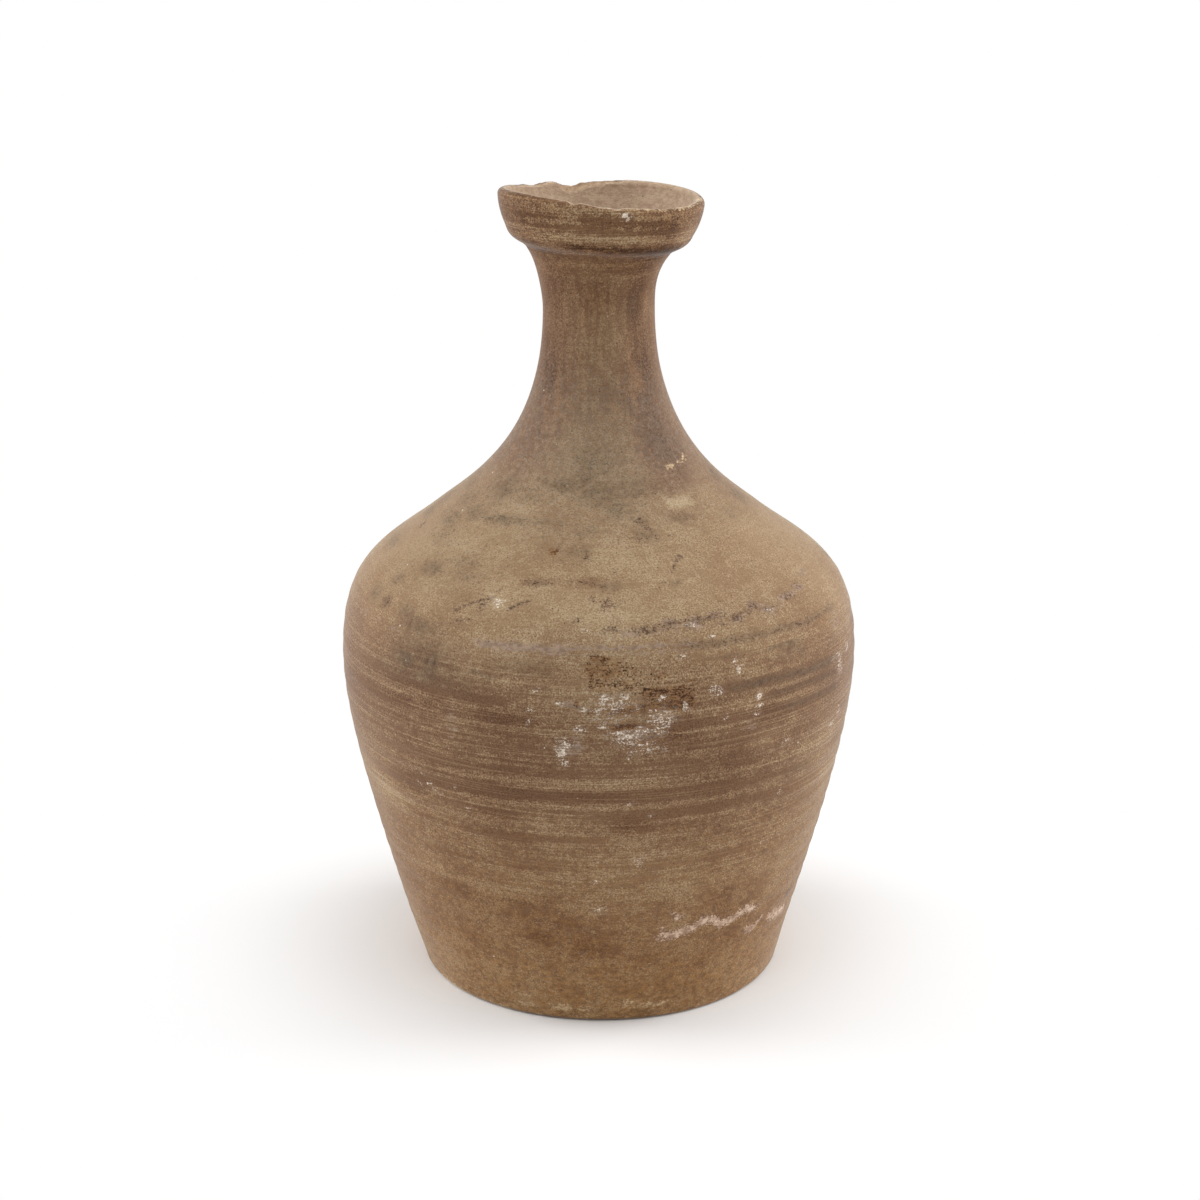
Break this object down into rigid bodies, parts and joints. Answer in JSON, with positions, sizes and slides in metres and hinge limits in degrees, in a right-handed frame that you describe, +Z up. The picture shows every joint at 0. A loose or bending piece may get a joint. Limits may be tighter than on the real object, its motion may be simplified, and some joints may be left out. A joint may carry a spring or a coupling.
{
  "type": "wine jug",
  "caption": "Wheel-thrown stoneware wine jug: flat base, swelling body, wide rounded shoulder, slim neck and a dished pouring mouth.",
  "frame": {"origin": "middle of the base, on the surface that the jug stands on", "axes": "+Z up along the wheel's axis, +X to the right and -Y to the front of the pictured view"},
  "size_m": [0.2504, 0.2504, 0.3842],
  "materials": {
    "base_stoneware": "unglazed stoneware, worn warm tan at the foot",
    "body_stoneware": "unglazed stoneware, grey-brown with darker throwing bands",
    "shoulder_stoneware": "unglazed stoneware, ash-flashed mottled tan",
    "neck_stoneware": "unglazed stoneware, grey-brown and wiped smooth",
    "mouth_stoneware": "unglazed stoneware, brown with a worn pale lip"
  },
  "bodies": {
    "root": {"base_slab": "base_stoneware", "body": "body_stoneware", "shoulder": "shoulder_stoneware", "neck": "neck_stoneware", "dish_mouth": "mouth_stoneware"}
  },
  "joints": []
}
